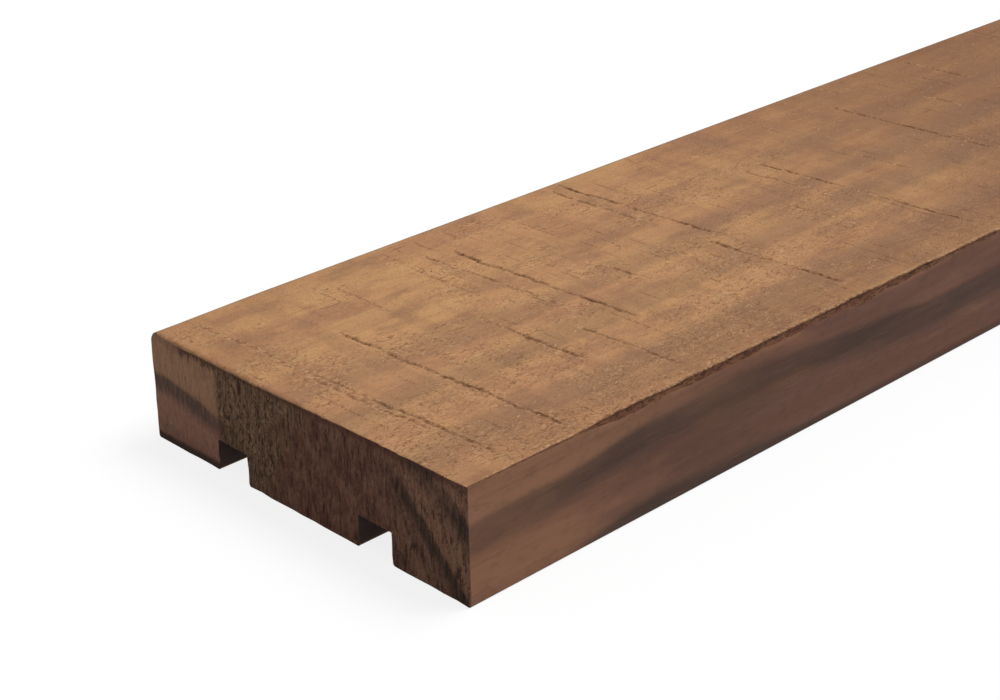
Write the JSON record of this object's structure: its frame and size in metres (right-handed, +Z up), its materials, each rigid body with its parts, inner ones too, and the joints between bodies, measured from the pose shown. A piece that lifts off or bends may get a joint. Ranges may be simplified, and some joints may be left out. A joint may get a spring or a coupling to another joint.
{
  "type": "weatherboard",
  "caption": "Solid timber weatherboard with a sawn weather face, planed edges and relief grooves along its back.",
  "frame": {"origin": "the middle of the board's back, on the plane of its three back lands, which it rests on", "axes": "+X along the length and the grain, away from the end shown in the picture; +Y across the width, towards the rounded front arris; +Z up through the thickness, out of the sawn weather face"},
  "size_m": [1.8, 0.09, 0.0235],
  "materials": {
    "timber": "warm brown timber: fine-sawn matt front face, planed long edges, cross-sawn ends"
  },
  "bodies": {
    "root": {"weatherboard": "timber"}
  },
  "joints": []
}
